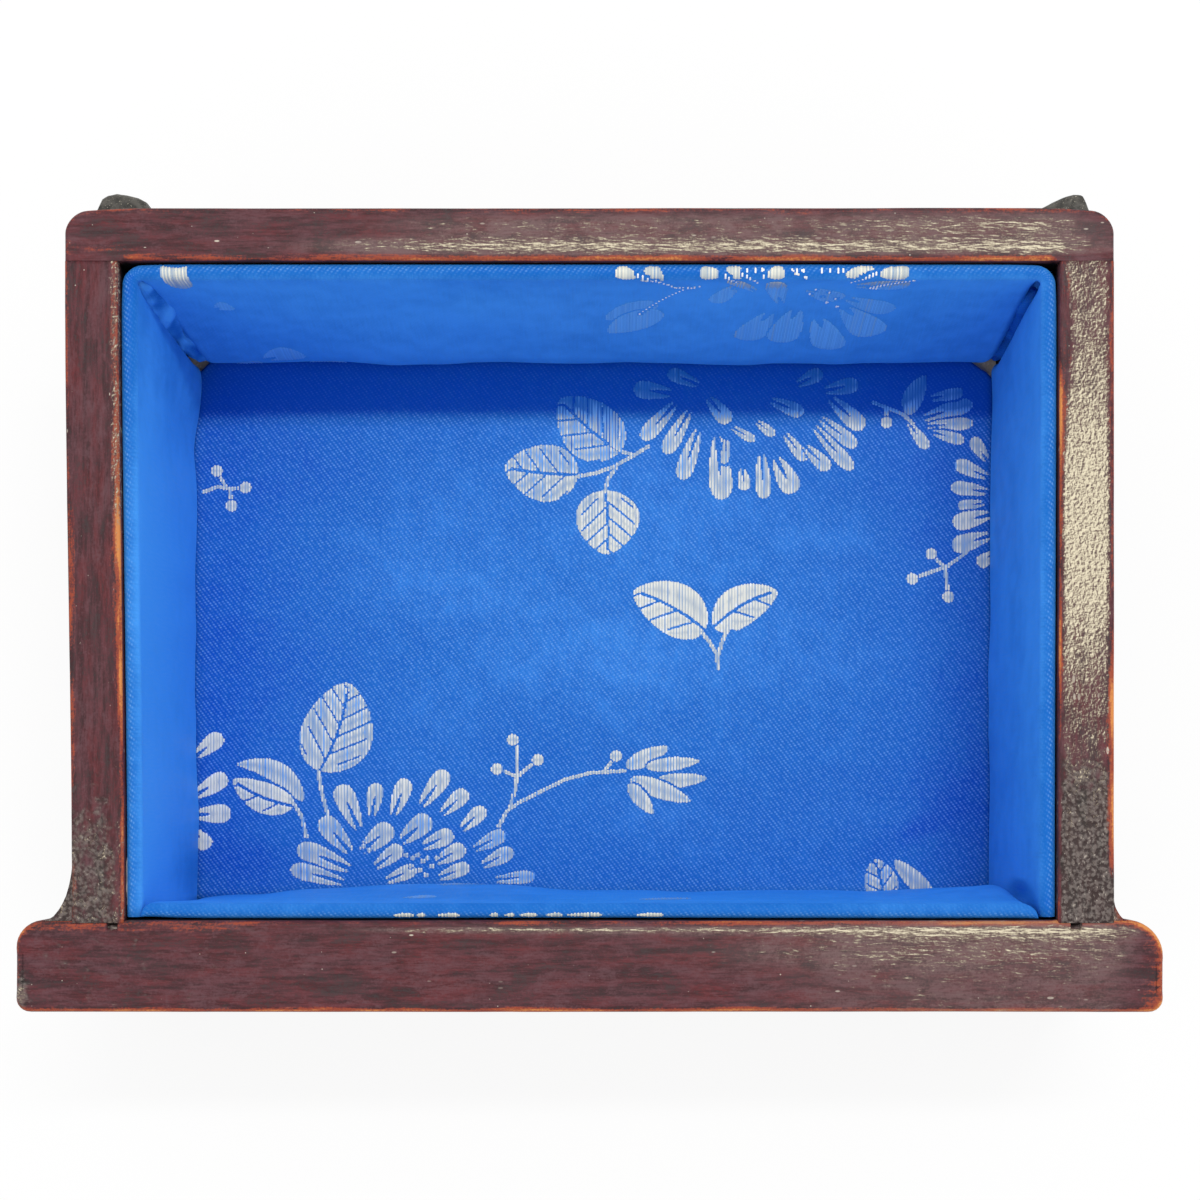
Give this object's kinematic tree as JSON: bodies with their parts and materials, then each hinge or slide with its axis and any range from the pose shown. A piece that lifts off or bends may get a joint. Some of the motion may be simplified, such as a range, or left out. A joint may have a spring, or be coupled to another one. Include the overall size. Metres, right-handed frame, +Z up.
{
  "type": "jewelry chest drawer",
  "caption": "Open hardwood drawer of a jewelry chest with an overhanging front board and a padded blue silk brocade lining on walls and floor.",
  "frame": {"origin": "under the middle of the drawer, on the surface that it rests on", "axes": "+X to the right and +Y to the back as seen from the front board, +Z up out of the open top"},
  "size_m": [0.201, 0.1474, 0.058],
  "materials": {
    "stained_wood": "worn dark red-brown varnish",
    "plain_wood": "bare board",
    "pin_wood": "bare bamboo",
    "dark_stop": "dark, dusty and rough",
    "corner_fillet": "dark filler with glue",
    "greyboard": "raw paper board",
    "wadding": "loose cotton",
    "brocade": "satin with silver flower figures"
  },
  "bodies": {
    "root": {"front_board": "stained_wood", "back_board": "stained_wood", "side_left": "stained_wood", "side_right": "stained_wood", "bottom_board": "plain_wood", "stop_left": "dark_stop", "stop_right": "dark_stop", "fillet_left": "corner_fillet", "fillet_right": "corner_fillet", "back_pin_left_lower": "pin_wood", "back_pin_left_upper": "pin_wood", "back_pin_right_lower": "pin_wood", "back_pin_right_upper": "pin_wood", "card_back": "greyboard", "wadding_back": "wadding", "silk_back": "brocade", "card_front": "greyboard", "wadding_front": "wadding", "silk_front": "brocade", "card_left": "greyboard", "wadding_left": "wadding", "silk_left": "brocade", "card_right": "greyboard", "wadding_right": "wadding", "silk_right": "brocade", "card_floor": "greyboard", "wadding_floor": "wadding", "silk_floor": "brocade"}
  },
  "joints": []
}
